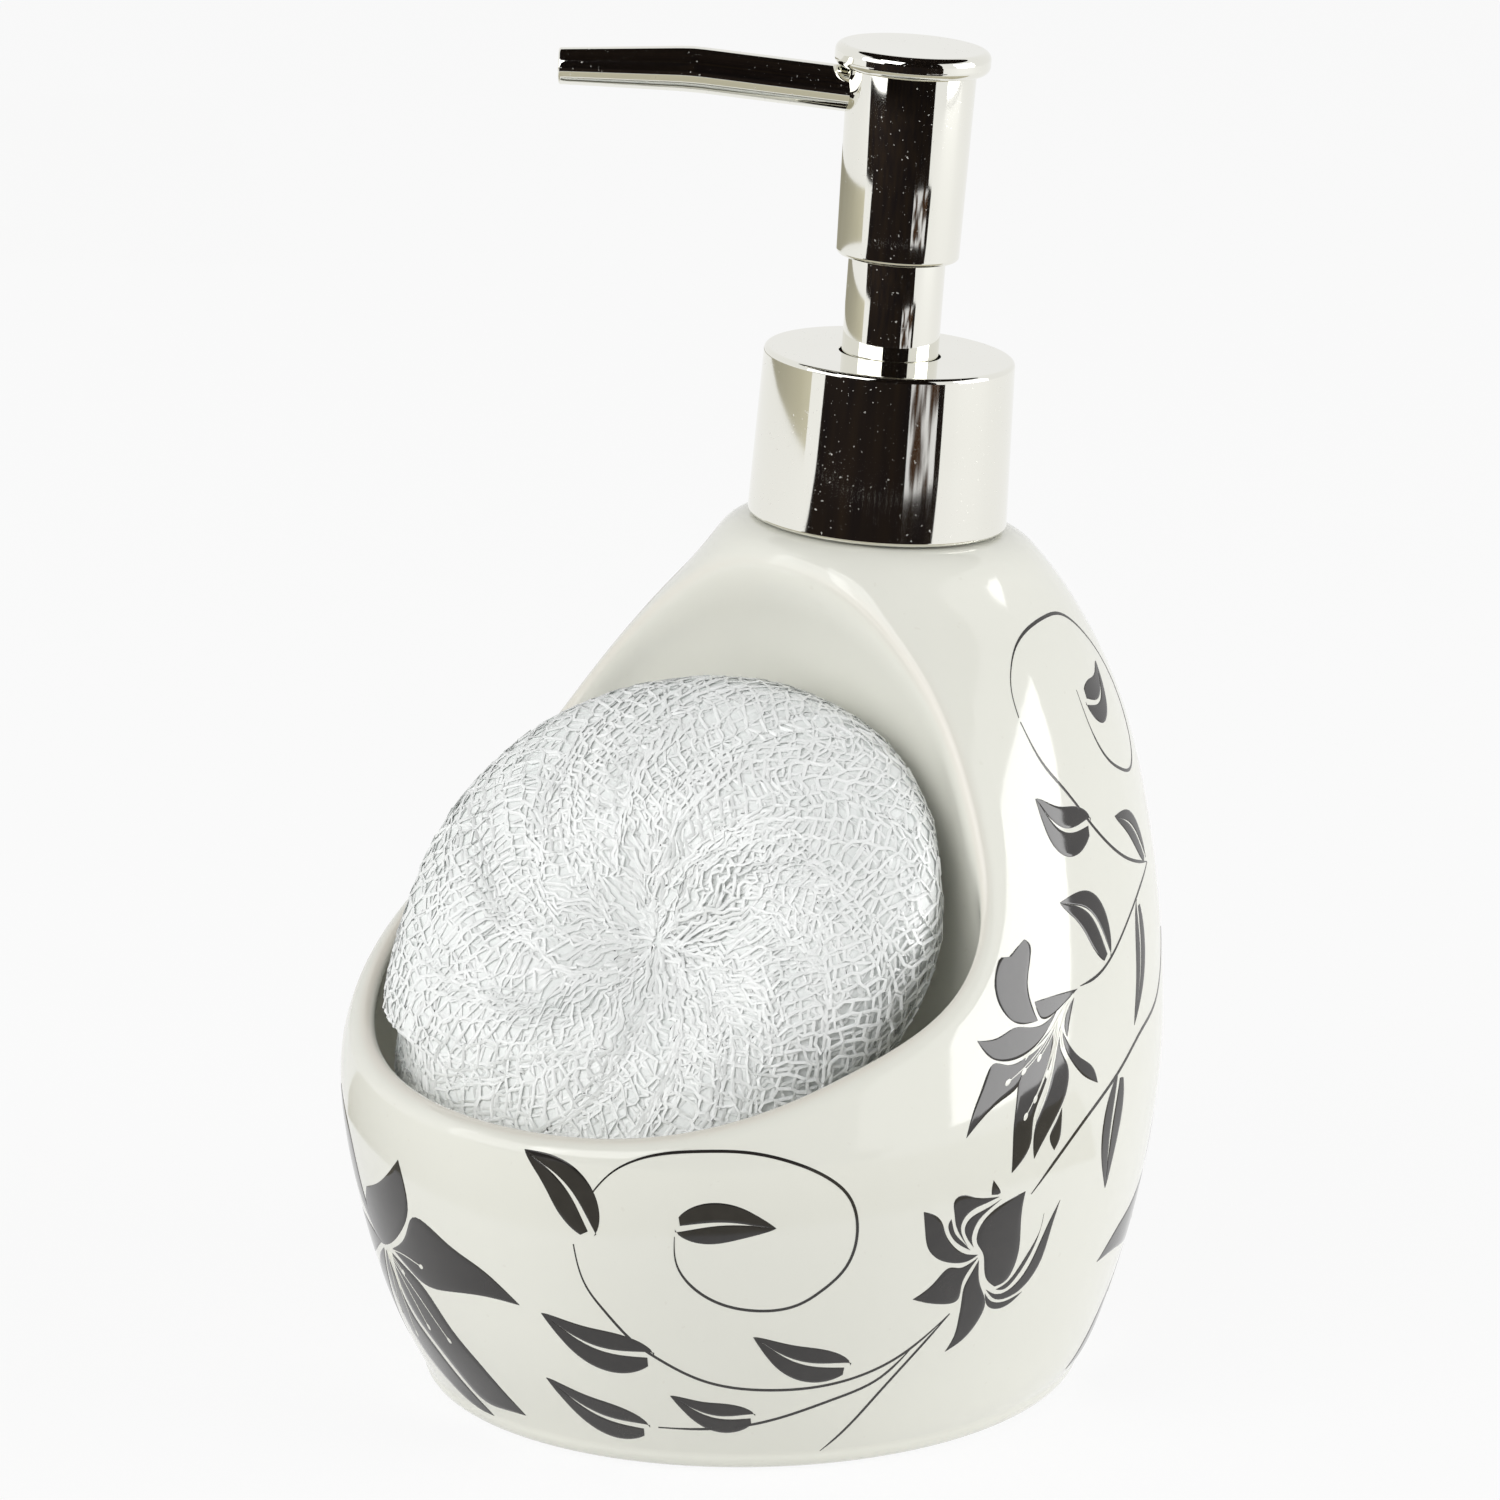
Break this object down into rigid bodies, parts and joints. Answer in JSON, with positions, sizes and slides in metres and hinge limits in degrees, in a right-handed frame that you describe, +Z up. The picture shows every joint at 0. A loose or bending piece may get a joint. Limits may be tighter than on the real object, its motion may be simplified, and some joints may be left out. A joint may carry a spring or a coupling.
{
  "type": "soap dispenser",
  "caption": "Ceramic soap dispenser with a lotion pump and a front cradle that holds a round net scrubber.",
  "frame": {"origin": "middle of the foot, on the counter", "axes": "+Z up, -Y to the front where the cradle opens, +X to the right seen from the front"},
  "size_m": [0.099, 0.1167, 0.174],
  "materials": {
    "ceramic": "white gloss glaze",
    "white_plastic": "moulded",
    "soft_seal": "matte",
    "natural_plastic": "milky, see-through",
    "steel": "bright",
    "chrome": "mirror plated",
    "net": "clear knitted plastic strip"
  },
  "bodies": {
    "ceramic": {"ceramic_base": "ceramic", "ceramic_body": "ceramic", "ceramic_shoulder": "ceramic", "neck_insert": "white_plastic", "insert_seal": "soft_seal"},
    "pump_unit": {"pump_cylinder": "white_plastic", "neck_gasket": "soft_seal", "stem_guide": "white_plastic", "dip_tube": "natural_plastic", "return_spring": "steel"},
    "collar": {"screw_closure": "white_plastic", "collar_cover": "chrome"},
    "plunger": {"piston": "white_plastic", "piston_rod": "white_plastic"},
    "head": {"piston_stem": "white_plastic", "stem_sleeve": "chrome", "head_core": "white_plastic", "head_shell": "chrome", "head_cap": "chrome", "spout": "chrome"},
    "ball": {"valve_ball": "steel"},
    "scrubber": {"net_scrubber": "net"}
  },
  "joints": [
    {"name": "pump_lift", "type": "slide", "parent": "ceramic", "child": "pump_unit", "axis": [0, 0, 1], "range_m": [0, 0.112]},
    {"name": "collar_turn", "type": "hinge", "parent": "pump_unit", "child": "collar", "pos_m": [0, 0.012, 0.12], "axis": [0, 0, 1], "range_deg": [0, 540]},
    {"name": "pump_press", "type": "slide", "parent": "pump_unit", "child": "plunger", "axis": [0, 0, -1], "range_m": [0, 0.011], "stiffness_N_per_m": 600, "springref_m": -0.01, "deforming": ["return_spring"]},
    {"name": "head_turn", "type": "hinge", "parent": "plunger", "child": "head", "pos_m": [0, 0.012, 0.14], "axis": [0, 0, 1], "continuous": true},
    {"name": "ball_rise", "type": "slide", "parent": "pump_unit", "child": "ball", "axis": [0, 0, 1], "range_m": [0, 0.0015]},
    {"name": "scrubber_lift", "type": "slide", "parent": "ceramic", "child": "scrubber", "axis": [0, -0.3624, 0.932], "range_m": [0, 0.085]}
  ]
}
